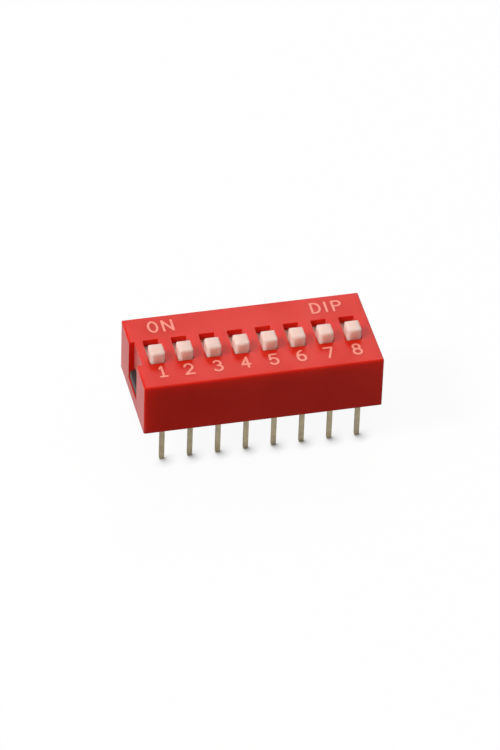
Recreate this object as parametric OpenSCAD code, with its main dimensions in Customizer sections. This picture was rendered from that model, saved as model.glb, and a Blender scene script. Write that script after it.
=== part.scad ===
// Slide DIP switch: snap-on cover, sliders with sprung contacts, base with two rows of terminals.
// Millimetres. The seating face of the base is z = 0, and the centre of the pin grid is the origin.
// X runs along the row of switches, and +Y is the ON side.

/* [Pin grid] */
// Number of switches in the row
positions = 8; // [2:1:12]
// Distance between neighbouring pins of one row
pitch = 2.54; // [2.3:0.01:3]
// Distance between the two rows of pins
row_spacing = 7.62; // [7:0.01:10.16]

/* [Cover] */
// Thickness of the top wall
top_wall = 0.7; // [0.6:0.05:1.5]
// Thickness of the two long walls
side_wall = 0.8; // [0.4:0.05:1.2]
// Thickness of the two end walls
end_wall = 0.89; // [0.75:0.01:1.5]
// Thickness of the guide rib between two sliders
guide_rib = 0.5; // [0.3:0.01:0.7]
// Rounding of the outer edges
cover_edge_r = 0.18; // [0.05:0.01:0.3]
// Rounding of the corners of a slot
slot_corner_r = 0.1; // [0.05:0.01:0.2]

/* [Latches] */
// Width of the recess in each end face
recess_w = 3.3; // [2:0.1:5]
// Depth of the recess in each end face
recess_d = 0.5; // [0.3:0.05:0.6]
// Height of the latch window at the foot of the recess
window_h = 1.3; // [0.6:0.05:1.4]
// Distance from the top of the base down to the top of the window
window_drop = 0.15; // [0.1:0.05:0.3]
// Width of the wall left beside the window within the recess
window_side = 0.15; // [0.1:0.05:0.5]
// Height of the closed recess above its window, in the end face at +X
recess_head = 0.5; // [0.3:0.1:1]
// How far the nose of the latch nib stands back from the end face
nib_setback = 0.1; // [0.05:0.01:0.2]
// Height of the upright land at the nose of the nib
nib_land = 0.8; // [0.1:0.05:1]
// Size of the chamfer that spreads the cover over the nib
snap_chamfer = 0.25; // [0.1:0.05:0.3]

/* [Sliders] */
// Travel of a slider from OFF to ON
travel = 1.8; // [1.6:0.05:2.4]
// Width of a knob along the row
knob_w = 1.34; // [1.1:0.02:1.6]
// Length of a knob along its travel
knob_l = 1.5; // [1.2:0.05:2]
// Height of a knob above the cover
knob_h = 1.02; // [0.3:0.02:2]
// Rounding of a knob's upright corners
knob_corner_r = 0.32; // [0.1:0.01:0.4]
// Rounding of a knob's top edges
knob_top_r = 0.2; // [0.1:0.01:0.3]
// Height of the shoe, the slider's body under the cover
shoe_h = 1.6; // [1.1:0.05:2]
// Chamfer of the shoe's lower ends
shoe_chamfer = 0.2; // [0.1:0.05:0.4]
// Depth of the contact's pocket in the shoe
pocket_d = 0.45; // [0.4:0.05:0.6]

/* [Moving contacts] */
// Thickness of the contact strip
spring_t = 0.12; // [0.08:0.01:0.15]
// Width of the contact strip
spring_w = 1.1; // [0.9:0.05:1.3]
// Distance from the stake to the first bend of each arm
spring_flat = 0.58; // [0.5:0.01:0.8]
// Slope of the contact's arms
arm_slope = 55; // [45:1:65]
// Centre-line radius of the bends in the contact strip
spring_bend_r = 0.25; // [0.15:0.01:0.3]
// Length of the toe that turns up behind each foot
toe_l = 0.18; // [0.1:0.01:0.3]
// Slope of the toe
toe_slope = 35; // [20:1:50]
// Width of the split that divides each arm into two fingers
finger_gap = 0.26; // [0.15:0.01:0.4]
// Diameter of the stake that holds the contact to the shoe
stake_d = 0.5; // [0.4:0.02:0.6]
// How far the flattened head of the stake reaches past it all round
stake_lip = 0.15; // [0.1:0.01:0.2]
// Height of the flattened head of the stake
stake_head_h = 0.14; // [0.1:0.01:0.2]

/* [Terminals] */
// Thickness of the terminal strip
pin_t = 0.25; // [0.2:0.01:0.4]
// Width of a pin
pin_w = 0.46; // [0.4:0.02:0.6]
// Length of a pin below the seating face
pin_l = 3.4; // [2:0.1:5]
// Length of the tapered tip of a pin
tip_l = 0.15; // [0.05:0.05:0.8]
// Width of a pin at its very end
tip_w = 0.38; // [0.15:0.01:0.45]
// Width of the contact pad inside the switch
pad_w = 1.1; // [0.9:0.05:1.3]
// How far a pad stands above the floor of the base
pad_proud = 0.02; // [0.01:0.01:0.05]
// Gap between the front and the rear pad
pad_gap = 0.4; // [0.3:0.05:0.6]
// How far the front pad reaches past the foot that rests near its end
pad_margin = 0.25; // [0.2:0.05:0.4]
// Inside radius of the bend from pad to pin
pin_bend_r = 0.2; // [0.1:0.01:0.3]

/* [Base] */
// Height of the floor of the base above the seating face
floor_h = 2.7; // [2.2:0.05:3.5]
// Height of the walls between two contact channels
barrier_h = 0.5; // [0.4:0.05:0.6]
// Height of the cover's lower edge above the seating face
stand_off = 0.6; // [0.45:0.05:1]
// Depth of the relief along the rows of pins
gutter_d = 0.4; // [0.2:0.05:0.8]
// Distance between the pins and the seating pad
seat_clear = 0.65; // [0.4:0.05:1]
// Rounding of the corners of the seating pad
seat_corner_r = 0.4; // [0.1:0.05:1]
// Height at which a terminal narrows from pad width to pin width
shoulder_h = 1.6; // [1:0.1:1.8]

/* [Fits] */
// Clearance of a slider over and at the ends of its travel, and round its knob
slide_gap = 0.05; // [0.03:0.01:0.08]
// Clearance between a shoe and the guide ribs beside it
guide_gap = 0.07; // [0.04:0.01:0.1]
// Clearance between a shoe and the walls of the base under it
shoe_rise = 0.15; // [0.08:0.01:0.25]
// Clearance between the base and the cover
fit_gap = 0.05; // [0.02:0.01:0.08]
// Room between the pins and the long walls of the cover
pin_room = 0.215; // [0.15:0.005:0.4]
// Clearance round a terminal in the base, and round a stake in its hole
insert_gap = 0.02; // [0.01:0.01:0.05]
// Clearance beside a moving contact
channel_gap = 0.1; // [0.06:0.01:0.12]
// Clearance between a contact's foot and its pad
touch_gap = 0.02; // [0.01:0.005:0.04]

/* [Hidden] */
$fn = 48;
eps = 0.01;

// Heights, from the seating face up
barrier_top = floor_h + barrier_h;
pad_top = floor_h + pad_proud;
shoe_z = barrier_top + shoe_rise;
shoe_top = shoe_z + shoe_h;
pocket_z = shoe_z + pocket_d;
ceiling_z = shoe_top + slide_gap;
cover_top = ceiling_z + top_wall;
knob_top = cover_top + knob_h;
window_z = barrier_top - window_drop - window_h;

// Along the row
bay_l = positions * pitch - guide_rib;
cover_l = bay_l + 2 * end_wall;
base_l = bay_l - 2 * fit_gap;
shoe_w = pitch - guide_rib - 2 * guide_gap;
slot_w = knob_w + 2 * slide_gap;
channel_w = max(spring_w, pad_w) + 2 * channel_gap;
seat_l = positions * pitch - 2 * seat_clear;
recess_floor_x = cover_l / 2 - recess_d;
window_w = recess_w - 2 * window_side;

// Across the rows
row_y = row_spacing / 2;
bay_w = row_spacing + pin_t + 2 * pin_room;
cover_w = bay_w + 2 * side_wall;
base_w = bay_w - 2 * fit_gap;
seat_w = row_spacing - pin_t - 2 * seat_clear;
slot_l = knob_l + travel + 2 * slide_gap;
shoe_l = bay_w - travel - 2 * slide_gap;
off_y = -travel / 2;

// Moving contacts: the arms are as long as the drop from the shoe to the pads asks
spring_z = pocket_z - spring_t / 2;
spring_drop = spring_z - (pad_top + touch_gap + spring_t / 2);
bend_drop = 2 * spring_bend_r * (1 - cos(arm_slope));
arm_l = (spring_drop - bend_drop) / sin(arm_slope);
foot_reach = spring_flat + 2 * spring_bend_r * sin(arm_slope) + arm_l * cos(arm_slope);
toe_reach = foot_reach + (spring_bend_r + spring_t) * sin(toe_slope) + toe_l;

// Pads: both feet rest on the front pad when OFF, and one on each pad when ON
front_pad_end = foot_reach + off_y + pad_margin;
rear_pad_end = front_pad_end + pad_gap;

function switch_x(i) = (i - (positions + 1) / 2) * pitch;

// ---- bent strips -------------------------------------------------------------------------------
// A strip is a list of runs, each [length, turn after it in degrees, centre-line radius of the turn].

function heading(runs, n) = n == 0 ? 0 : heading(runs, n - 1) + runs[n - 1][1];

function ahead(angle, distance) = distance * [cos(angle), sin(angle)];

// Where the centre line starts run n, after all the runs and bends before it
function run_start(runs, n) = n == 0 ? [0, 0] : bend_end(runs, n - 1);

function run_end(runs, n) = run_start(runs, n) + ahead(heading(runs, n), runs[n][0]);

function bend_side(runs, n) = runs[n][1] < 0 ? -1 : 1;

function bend_centre(runs, n) =
    run_end(runs, n) + ahead(heading(runs, n) + 90 * bend_side(runs, n), runs[n][2]);

function bend_point(runs, n, share, side_offset) = let (
    side = bend_side(runs, n),
    from_centre = heading(runs, n) - 90 * side + share * runs[n][1]
) bend_centre(runs, n) + ahead(from_centre, runs[n][2] - side * side_offset);

function bend_end(runs, n) = runs[n][1] == 0 ? run_end(runs, n) : bend_point(runs, n, share = 1, side_offset = 0);

// One edge of the strip, side_offset to the left of the centre line
function strip_edge(runs, side_offset, steps = 6) = [
    for (n = [0:len(runs) - 1])
        let (across = ahead(heading(runs, n) + 90, side_offset))
        each concat(
            [run_start(runs, n) + across],
            runs[n][1] == 0
                ? [run_end(runs, n) + across]
                : [for (s = [0:steps - 1]) bend_point(runs, n, s / steps, side_offset)]
        )
];

function reversed(points) = [for (i = [len(points) - 1:-1:0]) points[i]];

module strip_profile(runs, t) {
    polygon(concat(strip_edge(runs, t / 2), reversed(strip_edge(runs, -t / 2))));
}

// Extrudes a profile drawn in Y and Z along X, with its middle at x = 0
module across_x(w) {
    rotate([90, 0, 90]) translate([0, 0, -w / 2]) linear_extrude(w) children();
}

// Extrudes a profile drawn in X and Z along Y, with its middle at y = 0
module across_y(l) {
    rotate([90, 0, 0]) translate([0, 0, -l / 2]) linear_extrude(l) children();
}

// ---- rounded blocks ----------------------------------------------------------------------------

module rounded_rect(w, l, r) {
    square([w - 2 * r, l], center = true);
    square([w, l - 2 * r], center = true);
    for (x = [-1, 1], y = [-1, 1])
        translate([x * (w / 2 - r), y * (l / 2 - r)]) circle(r);
}

// A rectangle that stands on its lower edge, with its two upper corners rounded
module arched_rect(w, h, r) {
    translate([-w / 2, 0]) square([w, h - r]);
    translate([-w / 2 + r, 0]) square([w - 2 * r, h]);
    for (x = [-1, 1])
        translate([x * (w / 2 - r), h - r]) circle(r);
}

// A block that stands on z = 0, with rounded upright corners and rounded top edges
module soft_block(w, l, h, corner_r, top_r) {
    intersection() {
        linear_extrude(h) rounded_rect(w, l, corner_r);
        across_y(l) arched_rect(w, h, top_r);
        across_x(w) arched_rect(l, h, top_r);
    }
}

// ---- cover -------------------------------------------------------------------------------------

module cover_slots() {
    for (i = [1:positions])
        translate([switch_x(i), 0, ceiling_z - eps])
            linear_extrude(top_wall + 2 * eps) rounded_rect(slot_w, slot_l, slot_corner_r);
}

module guide_ribs() {
    rib_z = barrier_top + fit_gap;
    for (i = [1:positions - 1])
        translate([switch_x(i) + pitch / 2 - guide_rib / 2, -bay_w / 2 - eps, rib_z])
            cube([guide_rib, bay_w + 2 * eps, ceiling_z + eps - rib_z]);
}

// The recess in an end face up to the height of its head, and the window at its foot for the nib
module end_recess(head_z) {
    translate([recess_floor_x, -recess_w / 2, window_z])
        cube([recess_d + eps, recess_w, head_z - window_z]);
    translate([bay_l / 2 - eps, -window_w / 2, window_z])
        cube([recess_floor_x - bay_l / 2 + 2 * eps, window_w, window_h]);
}

// Front view of the space inside the cover, with a chamfer at the foot of each end wall
module bay_profile() {
    polygon([
        [-bay_l / 2 - snap_chamfer - eps, stand_off - eps], [bay_l / 2 + snap_chamfer + eps, stand_off - eps],
        [bay_l / 2, stand_off + snap_chamfer], [bay_l / 2, ceiling_z],
        [-bay_l / 2, ceiling_z], [-bay_l / 2, stand_off + snap_chamfer]
    ]);
}

module cover() {
    color("#cf2a22") {
        difference() {
            translate([0, 0, stand_off])
                soft_block(cover_l, cover_w, cover_top - stand_off, cover_edge_r, cover_edge_r);
            across_y(bay_w) bay_profile();
            cover_slots();
            end_recess(window_z + window_h + recess_head);
            mirror([1, 0, 0]) end_recess(cover_top + eps);
        }
        guide_ribs();
    }
}

// ---- base --------------------------------------------------------------------------------------

module latch_nib() {
    nib_x = cover_l / 2 - nib_setback;
    low = window_z + fit_gap;
    high = window_z + window_h - fit_gap;
    across_y(window_w - 2 * fit_gap)
        polygon([
            [base_l / 2 - eps, low], [nib_x, low], [nib_x, low + nib_land], [base_l / 2 - eps, high]
        ]);
}

// Side view of the room for one front terminal: over the pad, round the bend and down the leg
module terminal_room(inner_end, low) {
    leg_y = -row_y + pin_t / 2 + insert_gap;
    pad_z = pad_top - pin_t - insert_gap;
    saddle_r = pin_bend_r - insert_gap;
    translate([-base_w, pad_z]) square([base_w + inner_end + insert_gap, barrier_top]);
    translate([-base_w, low]) square([base_w + leg_y, barrier_top]);
    difference() {
        translate([leg_y - eps, pad_z - saddle_r]) square(saddle_r + eps);
        translate([leg_y + saddle_r, pad_z - saddle_r]) circle(saddle_r);
    }
}

// The slot for one front terminal, wide at its pad and shoulders and narrow at its leg
module terminal_slot(inner_end) {
    across_x(pad_w + 2 * insert_gap) terminal_room(inner_end, shoulder_h);
    across_x(pin_w + 2 * insert_gap) terminal_room(-row_y, -eps);
}

module base() {
    color("#1c1c1e") {
        difference() {
            translate([-base_l / 2, -base_w / 2, gutter_d])
                cube([base_l, base_w, barrier_top - gutter_d]);
            for (i = [1:positions]) {
                translate([switch_x(i) - channel_w / 2, -base_w / 2 - eps, floor_h])
                    cube([channel_w, base_w + 2 * eps, barrier_h + eps]);
                translate([switch_x(i), 0, 0]) {
                    terminal_slot(front_pad_end);
                    mirror([0, 1, 0]) terminal_slot(-rear_pad_end);
                }
            }
        }
        linear_extrude(gutter_d + eps) rounded_rect(seat_l, seat_w, seat_corner_r);
        latch_nib();
        mirror([1, 0, 0]) latch_nib();
    }
}

// ---- slider and its moving contact -------------------------------------------------------------

module slider(i) {
    pocket_w = spring_w + 2 * channel_gap;
    pocket_l = 2 * (toe_reach + channel_gap);
    stake_z = pocket_z - spring_t - insert_gap - stake_head_h;
    color("#f1e9dc") translate([switch_x(i), off_y, 0]) {
        translate([0, 0, shoe_top - eps])
            soft_block(knob_w, knob_l, knob_top - shoe_top + eps, knob_corner_r, knob_top_r);
        difference() {
            across_x(shoe_w)
                polygon([
                    [-shoe_l / 2, shoe_top], [-shoe_l / 2, shoe_z + shoe_chamfer],
                    [-shoe_l / 2 + shoe_chamfer, shoe_z], [shoe_l / 2 - shoe_chamfer, shoe_z],
                    [shoe_l / 2, shoe_z + shoe_chamfer], [shoe_l / 2, shoe_top]
                ]);
            translate([-pocket_w / 2, -pocket_l / 2, shoe_z - eps])
                cube([pocket_w, pocket_l, pocket_d + eps]);
        }
        translate([0, 0, stake_z]) cylinder(d = stake_d, h = pocket_z - stake_z + eps);
        translate([0, 0, stake_z]) cylinder(d = stake_d + 2 * stake_lip, h = stake_head_h);
    }
}

module contact_arm() {
    runs = [
        [spring_flat, -arm_slope, spring_bend_r],
        [arm_l, arm_slope + toe_slope, spring_bend_r],
        [toe_l, 0, 0]
    ];
    finger_start = stake_d / 2 + 2 * stake_lip;
    difference() {
        across_x(spring_w) translate([0, spring_z]) strip_profile(runs, spring_t);
        translate([-finger_gap / 2, finger_start, 0]) cube([finger_gap, toe_reach, cover_top]);
    }
}

module moving_contact(i) {
    color("#c9a75c") translate([switch_x(i), off_y, 0]) difference() {
        union() {
            contact_arm();
            mirror([0, 1, 0]) contact_arm();
        }
        translate([0, 0, spring_z - spring_t])
            cylinder(d = stake_d + 2 * insert_gap, h = 2 * spring_t);
    }
}

// ---- terminals ---------------------------------------------------------------------------------

// Front view of a terminal: pad width at the top, a shoulder, the narrow leg and its tapered tip
module terminal_outline() {
    polygon([
        [-pad_w / 2, cover_top], [-pad_w / 2, shoulder_h + insert_gap],
        [-pin_w / 2, shoulder_h + insert_gap], [-pin_w / 2, -pin_l + tip_l], [-tip_w / 2, -pin_l],
        [tip_w / 2, -pin_l], [pin_w / 2, -pin_l + tip_l], [pin_w / 2, shoulder_h + insert_gap],
        [pad_w / 2, shoulder_h + insert_gap], [pad_w / 2, cover_top]
    ]);
}

// A front terminal whose pad ends at inner_end, the leg of which is in the row at -row_y
module terminal(inner_end) {
    bend_r = pin_bend_r + pin_t / 2;
    pad_z = pad_top - pin_t / 2;
    runs = [
        [inner_end + row_y - bend_r, 90, bend_r],
        [pad_z + pin_l - bend_r, 0, 0]
    ];
    intersection() {
        across_x(pad_w) translate([inner_end, pad_z]) rotate(180) strip_profile(runs, pin_t);
        across_y(2 * cover_w) terminal_outline();
    }
}

module front_terminal(i) {
    color("#b9a878") translate([switch_x(i), 0, 0]) terminal(front_pad_end);
}

module rear_terminal(i) {
    color("#b9a878") translate([switch_x(i), 0, 0]) mirror([0, 1, 0]) terminal(-rear_pad_end);
}

cover();
base();
for (i = [1:positions]) {
    slider(i);
    moving_contact(i);
    front_terminal(i);
    rear_terminal(i);
}
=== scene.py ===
import bmesh
import bpy
import math
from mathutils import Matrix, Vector


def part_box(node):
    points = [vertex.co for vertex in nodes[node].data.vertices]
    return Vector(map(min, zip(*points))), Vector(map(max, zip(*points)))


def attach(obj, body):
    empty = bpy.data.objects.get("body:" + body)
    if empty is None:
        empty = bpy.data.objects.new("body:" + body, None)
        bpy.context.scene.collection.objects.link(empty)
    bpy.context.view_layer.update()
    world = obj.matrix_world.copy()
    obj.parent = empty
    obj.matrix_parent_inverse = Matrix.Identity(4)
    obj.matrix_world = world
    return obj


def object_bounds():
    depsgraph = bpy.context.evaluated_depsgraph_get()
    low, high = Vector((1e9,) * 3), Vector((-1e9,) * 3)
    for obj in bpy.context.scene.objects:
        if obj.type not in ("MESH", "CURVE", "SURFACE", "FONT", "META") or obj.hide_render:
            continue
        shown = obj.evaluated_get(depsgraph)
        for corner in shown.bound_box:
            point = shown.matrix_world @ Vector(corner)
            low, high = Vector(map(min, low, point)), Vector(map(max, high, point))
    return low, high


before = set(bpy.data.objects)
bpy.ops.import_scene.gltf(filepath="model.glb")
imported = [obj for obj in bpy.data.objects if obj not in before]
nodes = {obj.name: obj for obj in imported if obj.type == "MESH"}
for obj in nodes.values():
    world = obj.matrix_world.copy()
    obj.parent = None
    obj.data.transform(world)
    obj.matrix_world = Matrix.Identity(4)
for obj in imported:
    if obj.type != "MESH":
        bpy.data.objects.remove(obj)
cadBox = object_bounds()
mm = 0.001  # the frame is in metres
switches = [name.split("_")[1] for name in nodes if name.startswith("slider_")]
print("frame loaded:", len(nodes), "nodes,", len(switches), "switches")


# Short ways to add nodes to a material or a node group

def addNode(tree, kind, **settings):
    node = tree.nodes.new(kind)
    for key, value in settings.items():
        setattr(node, key, value)
    return node


def feed(tree, socket, value):  # a socket takes either another node's output or a plain value
    if isinstance(value, bpy.types.NodeSocket):
        tree.links.new(value, socket)
    else:
        socket.default_value = value


def noiseAt(tree, vector, scale, detail=2.0, rough=0.5):
    noise = addNode(tree, "ShaderNodeTexNoise")
    for label, value in (("Vector", vector), ("Scale", scale), ("Detail", detail), ("Roughness", rough)):
        feed(tree, noise.inputs[label], value)
    return noise.outputs["Fac"]


def remap(tree, value, fromLow, fromHigh, toLow, toHigh):
    node = addNode(tree, "ShaderNodeMapRange")
    for label, number in (("Value", value), ("From Min", fromLow), ("From Max", fromHigh),
                          ("To Min", toLow), ("To Max", toHigh)):
        feed(tree, node.inputs[label], number)
    return node.outputs["Result"]


def mixColors(tree, share, first, second, blend="MIX"):  # a colour mix uses inputs 0, 6 and 7, output 2
    node = addNode(tree, "ShaderNodeMix", data_type="RGBA", blend_type=blend)
    for number, value in ((0, share), (6, first), (7, second)):
        feed(tree, node.inputs[number], value)
    return node.outputs[2]


def calc(tree, operation, first, second=0.0):
    node = addNode(tree, "ShaderNodeMath", operation=operation)
    feed(tree, node.inputs[0], first)
    feed(tree, node.inputs[1], second)
    return node.outputs[0]


def objectPlace(tree):
    return addNode(tree, "ShaderNodeTexCoord").outputs["Object"]


def newGroup(name, inputs, outputs):
    tree = bpy.data.node_groups.new(name, "ShaderNodeTree")
    for label, kind, value in inputs:
        socket = tree.interface.new_socket(label, in_out="INPUT", socket_type="NodeSocket" + kind)
        socket.default_value = value
    for label, kind in outputs:
        tree.interface.new_socket(label, in_out="OUTPUT", socket_type="NodeSocket" + kind)
    return tree, tree.nodes.new("NodeGroupInput").outputs, tree.nodes.new("NodeGroupOutput").inputs


def placeGroup(tree, group, **values):
    node = addNode(tree, "ShaderNodeGroup", node_tree=group)
    for label, value in values.items():
        feed(tree, node.inputs[label], value)
    return node.outputs


def newMaterial(name):
    material = bpy.data.materials.new(name)
    material.use_nodes = True
    return material, material.node_tree, material.node_tree.nodes["Principled BSDF"]


def bumpFrom(tree, shader, height, depth, strength):
    bump = addNode(tree, "ShaderNodeBump")
    for label, value in (("Height", height), ("Distance", depth), ("Strength", strength)):
        feed(tree, bump.inputs[label], value)
    tree.links.new(bump.outputs["Normal"], shader.inputs["Normal"])


# Effects that more than one material uses

effects = {
    "noiseSpan": (0.3, 0.7),  # nearly all of a noise texture's values
    "cloudSpan": (0.35, 0.7), "cloudRough": (-0.04, 0.04), "cloudLift": 3.0,  # cloudy tone
    "grainRough": (-0.05, 0.06),
    "edgeSpan": (0.99, 0.8),  # how well a rounded normal agrees with the flat one, off and on an edge
    "breakSpan": (0.35, 0.6), "leastEdge": 0.35,  # where the painted edge highlight breaks up, and what is left of it there
    "spotSpan": (0.42, 0.68), "lineStretch": (1, 0.05, 0.05), "lineRough": (-0.08, 0.1),
    "shearedSpan": (0.8, 0.95), "shearedRough": 0.15,  # faces turned this far to the side are sheared
}


def makeMouldGrain():  # cloudy tone and fine spark-eroded grain of a moulded face
    tree, given, result = newGroup(
        "mouldGrain",
        [("color", "Color", (0.5, 0.5, 0.5, 1)), ("deepColor", "Color", (0.4, 0.4, 0.4, 1)),
         ("roughness", "Float", 0.4), ("cloudScale", "Float", 300.0), ("grainScale", "Float", 9000.0),
         ("grainContrast", "Float", 0.03)],
        [("color", "Color"), ("roughness", "Float"), ("height", "Float")])
    place = objectPlace(tree)
    cloud = noiseAt(tree, place, given["cloudScale"], detail=3.0)
    grain = noiseAt(tree, place, given["grainScale"], detail=2.0)
    deep = remap(tree, cloud, *effects["cloudSpan"], 0.0, 1.0)
    color = mixColors(tree, deep, given["color"], given["deepColor"])
    low = calc(tree, "SUBTRACT", 1.0, given["grainContrast"])
    high = calc(tree, "ADD", 1.0, given["grainContrast"])
    speck = remap(tree, grain, *effects["noiseSpan"], low, high)
    tree.links.new(mixColors(tree, 1.0, color, speck, "MULTIPLY"), result["color"])
    rough = given["roughness"]
    for noise, change in ((grain, effects["grainRough"]), (cloud, effects["cloudRough"])):
        rough = calc(tree, "ADD", rough, remap(tree, noise, *effects["noiseSpan"], *change))
    tree.links.new(rough, result["roughness"])
    lift = calc(tree, "MULTIPLY", cloud, effects["cloudLift"])
    tree.links.new(calc(tree, "ADD", grain, lift), result["height"])
    return tree


def makeEdgeHighlightMask():  # 1 on the rounded edges of a piece, 0 on its flat faces; it places the painted edge highlight
    tree, given, result = newGroup(
        "edgeHighlightMask", [("width", "Float", 0.0001), ("breakScale", "Float", 3000.0)], [("mask", "Float")])
    soft = addNode(tree, "ShaderNodeBevel", samples=6)
    feed(tree, soft.inputs["Radius"], given["width"])
    turned = addNode(tree, "ShaderNodeVectorMath", operation="DOT_PRODUCT")
    tree.links.new(soft.outputs["Normal"], turned.inputs[0])
    tree.links.new(addNode(tree, "ShaderNodeNewGeometry").outputs["True Normal"], turned.inputs[1])
    edge = remap(tree, turned.outputs["Value"], *effects["edgeSpan"], 0.0, 1.0)
    breaks = noiseAt(tree, objectPlace(tree), given["breakScale"], detail=3.0)
    broken = remap(tree, breaks, *effects["breakSpan"], effects["leastEdge"], 1.0)
    tree.links.new(calc(tree, "MULTIPLY", edge, broken), result["mask"])
    return tree


def makePlating():  # thin gold on rolled strip: dull spots, rolling lines and bare sheared edges
    tree, given, result = newGroup(
        "plating",
        [("color", "Color", (0.7, 0.6, 0.35, 1)), ("dullColor", "Color", (0.4, 0.35, 0.25, 1)),
         ("edgeColor", "Color", (0.5, 0.36, 0.2, 1)), ("roughness", "Float", 0.3),
         ("spotScale", "Float", 1500.0), ("lineScale", "Float", 14000.0)],
        [("color", "Color"), ("roughness", "Float"), ("height", "Float")])
    place = objectPlace(tree)
    spots = noiseAt(tree, place, given["spotScale"], detail=3.0, rough=0.6)
    stretch = addNode(tree, "ShaderNodeVectorMath", operation="MULTIPLY")
    feed(tree, stretch.inputs[0], place)
    stretch.inputs[1].default_value = effects["lineStretch"]  # rolling lines run along the strip
    lines = noiseAt(tree, stretch.outputs[0], given["lineScale"], detail=2.0)
    dull = remap(tree, spots, *effects["spotSpan"], 0.0, 1.0)
    color = mixColors(tree, dull, given["color"], given["dullColor"])
    split = addNode(tree, "ShaderNodeSeparateXYZ")
    tree.links.new(addNode(tree, "ShaderNodeNewGeometry").outputs["True Normal"], split.inputs[0])
    sideways = calc(tree, "ABSOLUTE", split.outputs["X"])
    sheared = remap(tree, sideways, *effects["shearedSpan"], 0.0, 1.0)
    tree.links.new(mixColors(tree, sheared, color, given["edgeColor"]), result["color"])
    change = remap(tree, lines, *effects["noiseSpan"], *effects["lineRough"])
    rough = calc(tree, "ADD", given["roughness"], change)
    bare = calc(tree, "MULTIPLY", sheared, effects["shearedRough"])
    tree.links.new(calc(tree, "ADD", rough, bare), result["roughness"])
    tree.links.new(lines, result["height"])
    return tree


mouldGrain = makeMouldGrain()
edgeHighlightMask = makeEdgeHighlightMask()
plating = makePlating()


def dress(material, names):
    for name in names:
        for materialSlot in nodes[name].material_slots:
            materialSlot.material = material


rounding = {"weldWithin": 0.0005 * mm, "flatWithin": 0.5, "sharpFrom": 32}  # the last two in degrees


def breakEdges(names, look):  # a small radius on every sharp edge of a moulded or stamped piece
    for name in names:
        piece = nodes[name]
        weld = piece.modifiers.new("weld", "WELD")
        weld.merge_threshold = rounding["weldWithin"]
        flat = piece.modifiers.new("flat", "DECIMATE")
        flat.decimate_type, flat.angle_limit = "DISSOLVE", math.radians(rounding["flatWithin"])
        edges = piece.modifiers.new("edges", "BEVEL")
        edges.width, edges.segments = look["edgeRadius"], look["edgeSegments"]
        edges.limit_method, edges.angle_limit = "ANGLE", math.radians(rounding["sharpFrom"])
        smooth = piece.modifiers.new("smooth", "WEIGHTED_NORMAL")
        smooth.keep_sharp = False


def mouldedMaterial(look):
    material, tree, shader = newMaterial(look["name"])
    grain = placeGroup(tree, mouldGrain, color=look["color"], deepColor=look["deepColor"],
                       roughness=look["roughness"], cloudScale=look["cloudScale"],
                       grainScale=look["grainScale"], grainContrast=look["grainContrast"])
    edge = placeGroup(tree, edgeHighlightMask, width=look["edgeWidth"], breakScale=look["edgeBreakScale"])
    # the rounded edges are mixed towards edgeColor, a lighter colour: a painted highlight along every
    # edge
    share = calc(tree, "MULTIPLY", edge["mask"], look["edgeHighlightShare"])
    color = mixColors(tree, share, grain["color"], look["edgeColor"])
    tree.links.new(color, shader.inputs["Base Color"])
    tree.links.new(grain["roughness"], shader.inputs["Roughness"])
    bumpFrom(tree, shader, grain["height"], look["grainDepth"], look["grainStrength"])
    shader.inputs["Specular IOR Level"].default_value = look["specular"]
    if "bloom" in look:  # the pale haze of a moulded face seen at a low angle
        shader.inputs["Sheen Weight"].default_value = look["bloom"]
        shader.inputs["Sheen Roughness"].default_value = look["bloomRoughness"]
    if "glow" in look:  # light that scatters inside the plastic
        shader.inputs["Subsurface Weight"].default_value = look["glow"]
        shader.inputs["Subsurface Radius"].default_value = look["glowRadius"]
        shader.inputs["Subsurface Scale"].default_value = 1.0
    return material


def platedMaterial(look):
    material, tree, shader = newMaterial(look["name"])
    finish = placeGroup(tree, plating, color=look["color"], dullColor=look["dullColor"],
                        edgeColor=look["edgeColor"], roughness=look["roughness"],
                        spotScale=look["spotScale"], lineScale=look["lineScale"])
    tree.links.new(finish["color"], shader.inputs["Base Color"])
    tree.links.new(finish["roughness"], shader.inputs["Roughness"])
    bumpFrom(tree, shader, finish["height"], look["lineDepth"], look["lineStrength"])
    shader.inputs["Metallic"].default_value = 1.0
    return material


cover = {
    "name": "coverRed", "color": (0.735, 0.013, 0.001, 1), "deepColor": (0.67, 0.010, 0.001, 1),
    "roughness": 0.36, "specular": 0.14, "cloudScale": 240.0, "grainScale": 9000.0,
    "grainContrast": 0.03, "grainDepth": 0.002 * mm, "grainStrength": 0.5,
    # edgeColor and its share: the painted highlight along the rounded edges
    "edgeColor": (0.78, 0.05, 0.03, 1), "edgeHighlightShare": 0.15,
    "edgeWidth": 0.12 * mm, "edgeBreakScale": 2500.0,
    "edgeRadius": 0.03 * mm, "edgeSegments": 2, "bloom": 0.6, "bloomRoughness": 0.3,
    "glow": 0.65, "glowRadius": (2.0 * mm, 0.3 * mm, 0.2 * mm),
}
dress(mouldedMaterial(cover), ["cover"])
breakEdges(["cover"], cover)
print("cover dressed")

base = {
    "name": "baseBlack", "color": (0.025, 0.014, 0.012, 1), "deepColor": (0.017, 0.010, 0.009, 1),
    "roughness": 0.46, "specular": 0.26, "cloudScale": 300.0, "grainScale": 8000.0,
    "grainContrast": 0.12, "grainDepth": 0.004 * mm, "grainStrength": 0.7,
    # edgeColor and its share: the painted highlight along the rounded edges
    "edgeColor": (0.065, 0.05, 0.046, 1), "edgeHighlightShare": 0.6,
    "edgeWidth": 0.08 * mm, "edgeBreakScale": 3000.0,
    "edgeRadius": 0.025 * mm, "edgeSegments": 1,
}
dress(mouldedMaterial(base), ["base"])
breakEdges(["base"], base)
print("base dressed")

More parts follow.
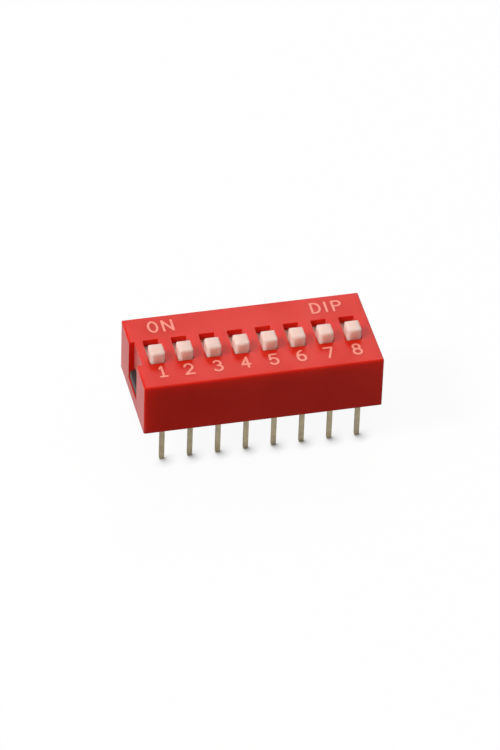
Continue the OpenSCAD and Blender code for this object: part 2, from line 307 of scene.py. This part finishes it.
slider = {
    "name": "sliderWhite", "color": (0.83, 0.575, 0.495, 1), "deepColor": (0.775, 0.53, 0.45, 1),
    "roughness": 0.42, "specular": 0.28, "cloudScale": 700.0, "grainScale": 9000.0,
    "grainContrast": 0.02, "grainDepth": 0.002 * mm, "grainStrength": 0.5,
    # edgeColor and its share: the painted highlight along the rounded edges
    "edgeColor": (0.88, 0.78, 0.68, 1), "edgeHighlightShare": 0.4,
    "edgeWidth": 0.08 * mm, "edgeBreakScale": 4000.0,
    "edgeRadius": 0.02 * mm, "edgeSegments": 1,
    "glow": 1.0, "glowRadius": (1.5 * mm, 1.4 * mm, 1.35 * mm),
}
sliders = [f"slider_{i}" for i in switches]
dress(mouldedMaterial(slider), sliders)
breakEdges(sliders, slider)
print("sliders dressed")

movingContact = {
    "name": "contactGold", "color": (0.78, 0.55, 0.22, 1), "dullColor": (0.62, 0.44, 0.19, 1),
    "edgeColor": (0.60, 0.36, 0.17, 1), "roughness": 0.24, "spotScale": 1500.0, "lineScale": 14000.0,
    "lineDepth": 0.002 * mm, "lineStrength": 0.6,
}
dress(platedMaterial(movingContact), [f"moving_contact_{i}" for i in switches])

terminal = {
    "name": "terminalGold", "color": (0.37, 0.31, 0.20, 1), "dullColor": (0.27, 0.235, 0.165, 1),
    "edgeColor": (0.26, 0.20, 0.13, 1), "roughness": 0.36, "spotScale": 1300.0, "lineScale": 14000.0,
    "lineDepth": 0.003 * mm, "lineStrength": 0.6, "edgeRadius": 0.02 * mm, "edgeSegments": 1,
}
terminals = [f"{row}_terminal_{i}" for row in ("front", "rear") for i in switches]
dress(platedMaterial(terminal), terminals)
breakEdges(terminals, terminal)
print("contacts and terminals dressed")


# Printed legend: each character is a thin layer of ink, drawn as round-ended strokes

legend = {
    "stroke": 0.2 * mm, "thickness": 0.014 * mm, "sunk": 0.003 * mm,
    "endSteps": 6, "mitreLimit": 2.0,  # sides of a round end, and how far a sharp turn may reach out
    "digitWidth": 0.72 * mm, "digitHeight": 1.36 * mm, "digitMiddle": -3.0 * mm,
    "digitSpread": 0.987, "digitShift": -0.03 * mm,
    "drift": {"1": (0.02 * mm, 0.09 * mm), "2": (-0.09 * mm, 0.04 * mm), "5": (0.01 * mm, -0.05 * mm),
              "7": (0.0, -0.05 * mm), "8": (0.03 * mm, -0.03 * mm)},  # how far a digit is printed off
    "onHeight": 1.42 * mm, "onMiddle": 3.42 * mm, "dipHeight": 1.34 * mm, "dipMiddle": 3.36 * mm,
    "on": [("O", -8.29 * mm, 0.78 * mm), ("N", -6.94 * mm, 0.84 * mm)],
    "dip": [("D", 6.52 * mm, 0.74 * mm), ("I", 7.46 * mm, 0.0), ("P", 8.46 * mm, 0.72 * mm)],
    "color": (0.96, 0.33, 0.25, 1), "wornColor": (0.88, 0.22, 0.16, 1),
    "roughness": 0.55, "specular": 0.3, "wearScale": 4200.0, "wearSpan": (0.45, 0.75),
    "wearRough": (-0.06, 0.08), "wearDepth": 0.002 * mm, "wearStrength": 0.4,
}


def arc(x, y, rx, ry, start, end, steps=12):  # part of an ellipse, in shares of the character's box
    angles = [math.radians(start + (end - start) * i / steps) for i in range(steps + 1)]
    return [(x + rx * math.cos(angle), y + ry * math.sin(angle)) for angle in angles]


characters = {
    "1": [[(0.27, 0.83), (0.55, 1)], [(0.55, 1), (0.55, 0)], [(0.15, 0), (0.95, 0)]],
    "2": [arc(0.5, 0.7, 0.48, 0.3, 165, -35) + [(0.0, 0.0)], [(0.0, 0.0), (1, 0)]],
    "3": [arc(0.47, 0.76, 0.43, 0.24, 150, -80), arc(0.45, 0.27, 0.52, 0.27, 85, -150)],
    "4": [[(0.7, 0), (0.7, 1)], [(0.7, 1), (0, 0.3)], [(0, 0.3), (1, 0.3)]],
    "5": [[(0.92, 1), (0.14, 1)], [(0.14, 1), (0.06, 0.52)], arc(0.45, 0.32, 0.52, 0.32, 140, -150)],
    "6": [arc(0.5, 0.3, 0.48, 0.3, 0, 360, 20), arc(0.72, 0.4, 0.7, 0.6, 185, 95)],
    "7": [[(0, 1), (1, 1)], [(1, 1), (0.35, 0)]],
    "8": [arc(0.5, 0.76, 0.42, 0.24, 0, 360, 20), arc(0.5, 0.27, 0.5, 0.27, 0, 360, 20)],
    "O": [arc(0.5, 0.5, 0.5, 0.5, 0, 360, 24)],
    "N": [[(0, 0), (0, 1)], [(0, 1), (1, 0)], [(1, 0), (1, 1)]],
    "D": [[(0, 0), (0, 1)], [(0, 1)] + arc(0.35, 0.5, 0.65, 0.5, 90, -90, 14) + [(0, 0)]],
    "I": [[(0.5, 0), (0.5, 1)]],
    "P": [[(0, 0), (0, 1)], [(0, 1)] + arc(0.55, 0.75, 0.45, 0.25, 90, -90, 12) + [(0, 0.5)]],
}


def strokeSides(points, width):  # the outline of a stroke, or its two rims where the stroke is a ring
    half = width / 2
    ring = (points[0] - points[-1]).length < width / 100
    if ring:
        points = points[:-1]
    count = len(points)
    left, right = [], []
    for i, point in enumerate(points):
        before = points[i - 1] if ring or i > 0 else None
        after = points[(i + 1) % count] if ring or i < count - 1 else None
        inward = (point - before).normalized() if before else (after - point).normalized()
        outward = (after - point).normalized() if after else inward
        along = (inward + outward).normalized()
        normal = Vector((-along.y, along.x))
        reach = half / max(1 / legend["mitreLimit"], normal.dot(Vector((-inward.y, inward.x))))
        left.append(point + normal * reach)
        right.append(point - normal * reach)
    if ring:
        return left, right
    ends = []
    for tip, near in ((points[-1], points[-2]), (points[0], points[1])):
        turn = math.atan2(tip.y - near.y, tip.x - near.x) + math.pi / 2
        angles = [turn - math.pi * k / legend["endSteps"] for k in range(1, legend["endSteps"])]
        ends.append([tip + Vector((math.cos(angle), math.sin(angle))) * half for angle in angles])
    return left + ends[0] + right[::-1] + ends[1], None


def placeMesh(name, shape):
    bmesh.ops.recalc_face_normals(shape, faces=shape.faces[:])
    mesh = bpy.data.meshes.new(name)
    shape.to_mesh(mesh)
    shape.free()
    piece = bpy.data.objects.new(name, mesh)
    bpy.context.scene.collection.objects.link(piece)
    return piece


def inkStroke(points, low, high):
    outer, inner = strokeSides([Vector(point) for point in points], legend["stroke"])
    shape = bmesh.new()
    rims = [[shape.verts.new((p.x, p.y, low)) for p in rim] for rim in (outer, inner) if rim]
    if inner is None:
        shape.faces.new(rims[0])
    else:
        for i in range(len(outer)):
            k = (i + 1) % len(outer)
            shape.faces.new((rims[0][i], rims[0][k], rims[1][k], rims[1][i]))
    raised = bmesh.ops.extrude_face_region(shape, geom=shape.faces[:])["geom"]
    top = [item for item in raised if isinstance(item, bmesh.types.BMVert)]
    bmesh.ops.translate(shape, verts=top, vec=(0, 0, high - low))
    return placeMesh("inkStroke", shape)


def joinStrokes(name, strokes):  # one clean solid from strokes that cross
    first = strokes[0]
    for other in strokes[1:]:
        union = first.modifiers.new("union", "BOOLEAN")
        union.operation, union.solver, union.object = "UNION", "EXACT", other
    bpy.context.view_layer.update()
    solid = first.evaluated_get(bpy.context.evaluated_depsgraph_get())
    joined = bpy.data.objects.new(name, bpy.data.meshes.new_from_object(solid))
    bpy.context.scene.collection.objects.link(joined)
    for stroke in strokes:
        bpy.data.objects.remove(stroke)
    return joined


def inkMaterial():
    material, tree, shader = newMaterial("legendInk")
    wear = noiseAt(tree, objectPlace(tree), legend["wearScale"], detail=3.0, rough=0.6)
    share = remap(tree, wear, *legend["wearSpan"], 0.0, 1.0)
    color = mixColors(tree, share, legend["color"], legend["wornColor"])
    tree.links.new(color, shader.inputs["Base Color"])
    smoother, rougher = [legend["roughness"] + change for change in legend["wearRough"]]
    rough = remap(tree, wear, *effects["noiseSpan"], smoother, rougher)
    tree.links.new(rough, shader.inputs["Roughness"])
    bumpFrom(tree, shader, wear, legend["wearDepth"], legend["wearStrength"])
    shader.inputs["Specular IOR Level"].default_value = legend["specular"]
    return material


def printCharacters(name, letters, middle, height, ink):
    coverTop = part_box("cover")[1].z
    low, high = coverTop - legend["sunk"], coverTop + legend["thickness"]
    strokes = []
    for letter, centre, width in letters:
        for path in characters[letter]:
            points = [(centre + (x - 0.5) * width, middle + (y - 0.5) * height) for x, y in path]
            strokes.append(inkStroke(points, low, high))
    piece = joinStrokes(name, strokes)
    piece.data.materials.clear()
    piece.data.materials.append(ink)
    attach(piece, "housing")


ink = inkMaterial()
for i in switches:
    low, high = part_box(f"slider_{i}")
    aside, up = legend["drift"].get(i, (0.0, 0.0))
    centre = (low.x + high.x) / 2 * legend["digitSpread"] + legend["digitShift"] + aside
    digit = [(i, centre, legend["digitWidth"])]
    printCharacters(f"legend_digit_{i}", digit, legend["digitMiddle"] + up, legend["digitHeight"], ink)
for word in ("on", "dip"):
    printCharacters(f"legend_{word}", legend[word], legend[word + "Middle"], legend[word + "Height"], ink)
print("legend printed")


# Floor, sky, lamps and camera

studio = {
    "floorSize": 6.0, "floorColor": (0.93, 0.93, 0.93, 1), "floorBounce": (0.22, 0.22, 0.22, 1),
    "floorWhite": 0.93, "floorRoughness": 0.9,
    "contactReach": 1.3 * mm, "contactSide": (-0.62, 0.55, 0.56), "contactSpan": (0.5, 0.95),
    # contactShade dims the floor's white next to the pins: a painted shadow
    "contactShade": 0.3, "contactShadow": 0.35,
    "skyLight": (0.29, 0.29, 0.29, 1), "skySeen": (1.0, 1.0, 1.0, 1),
    "lampDistance": 1.2,
    "key": {"aim": (-0.71, -0.12, 0.69), "size": 0.3, "power": 9.4},
    "back": {"aim": (0.19, 0.74, 0.645), "size": 0.45, "power": 2.1},
    "above": {"aim": (-0.05, 0.1, 0.99), "size": 0.5, "power": 2.5},
}


def seenByEye(tree):  # 1 for rays that show a surface or its mirror image, 0 for light that bounces
    light = addNode(tree, "ShaderNodeLightPath").outputs
    seen = calc(tree, "MAXIMUM", light["Is Camera Ray"], light["Is Glossy Ray"])
    return calc(tree, "MAXIMUM", seen, light["Is Transmission Ray"])


def layFloor():
    half = studio["floorSize"] / 2
    shape = bmesh.new()
    corners = ((-half, -half), (half, -half), (half, half), (-half, half))
    shape.faces.new([shape.verts.new((x, y, cadBox[0].z)) for x, y in corners])
    floor = placeMesh("floor", shape)
    material, tree, shader = newMaterial("floorPaper")
    seen = seenByEye(tree)
    color = mixColors(tree, seen, studio["floorBounce"], studio["floorColor"])
    tree.links.new(color, shader.inputs["Base Color"])
    shader.inputs["Roughness"].default_value = studio["floorRoughness"]
    shader.inputs["Specular IOR Level"].default_value = 0.0
    contact = addNode(tree, "ShaderNodeAmbientOcclusion", samples=12)
    contact.inputs["Distance"].default_value = studio["contactReach"]
    side = addNode(tree, "ShaderNodeCombineXYZ")  # the light's side, so that the painted shade falls away from it
    for socket, value in zip(side.inputs, studio["contactSide"]):
        socket.default_value = value
    tree.links.new(side.outputs[0], contact.inputs["Normal"])
    near = remap(tree, contact.outputs["AO"], *studio["contactSpan"], 1.0, 0.0)
    # near a pin the white is dimmed by the occlusion: a painted shadow beside each pin
    white = addNode(tree, "ShaderNodeEmission")
    tree.links.new(remap(tree, near, 0.0, 1.0, 1.0, studio["contactShade"]), white.inputs["Strength"])
    paper = addNode(tree, "ShaderNodeMixShader")  # close to a pin more of the true shadow shows
    least = studio["floorWhite"] - studio["contactShadow"]
    share = remap(tree, near, 0.0, 1.0, studio["floorWhite"], least)
    tree.links.new(calc(tree, "MULTIPLY", seen, share), paper.inputs[0])
    tree.links.new(shader.outputs[0], paper.inputs[1])
    tree.links.new(white.outputs[0], paper.inputs[2])
    clear = addNode(tree, "ShaderNodeBsdfTransparent")  # from below the floor doesn't hide the pins
    both = addNode(tree, "ShaderNodeMixShader")
    tree.links.new(addNode(tree, "ShaderNodeNewGeometry").outputs["Backfacing"], both.inputs[0])
    tree.links.new(paper.outputs[0], both.inputs[1])
    tree.links.new(clear.outputs[0], both.inputs[2])
    tree.links.new(both.outputs[0], tree.nodes["Material Output"].inputs["Surface"])
    floor.data.materials.append(material)


def makeSky():
    world = bpy.data.worlds.new("studioSky")
    bpy.context.scene.world = world
    world.use_nodes = True
    tree = world.node_tree
    color = mixColors(tree, seenByEye(tree), studio["skyLight"], studio["skySeen"])
    tree.links.new(color, tree.nodes["Background"].inputs["Color"])


def hangLamp(name):
    lamp = bpy.data.lights.new(name, "AREA")
    lamp.shape, lamp.size, lamp.energy = "DISK", studio[name]["size"], studio[name]["power"]
    aim = Vector(studio[name]["aim"]).normalized()
    piece = bpy.data.objects.new(name, lamp)
    piece.location = aim * studio["lampDistance"]
    piece.rotation_mode = "QUATERNION"
    piece.rotation_quaternion = aim.to_track_quat("Z", "Y")
    bpy.context.scene.collection.objects.link(piece)


camera = {
    "place": (-89.4 * mm, -350.8 * mm, 292.2 * mm), "turn": (51.235, -1.653, -12.954),
    "lens": 250.8, "sensor": 36.0, "clip": (0.01, 20),
}


def placeCamera():
    lens = bpy.data.cameras.new("camera")
    lens.lens, lens.sensor_width, lens.sensor_fit = camera["lens"], camera["sensor"], "AUTO"
    lens.clip_start, lens.clip_end = camera["clip"]
    eye = bpy.data.objects.new("camera", lens)
    eye.location = camera["place"]
    eye.rotation_euler = [math.radians(angle) for angle in camera["turn"]]
    bpy.context.scene.collection.objects.link(eye)
    bpy.context.scene.camera = eye


layFloor()
makeSky()
hangLamp("key")
hangLamp("back")
hangLamp("above")
placeCamera()
bpy.context.scene.view_settings.view_transform = "Standard"
print("studio ready")
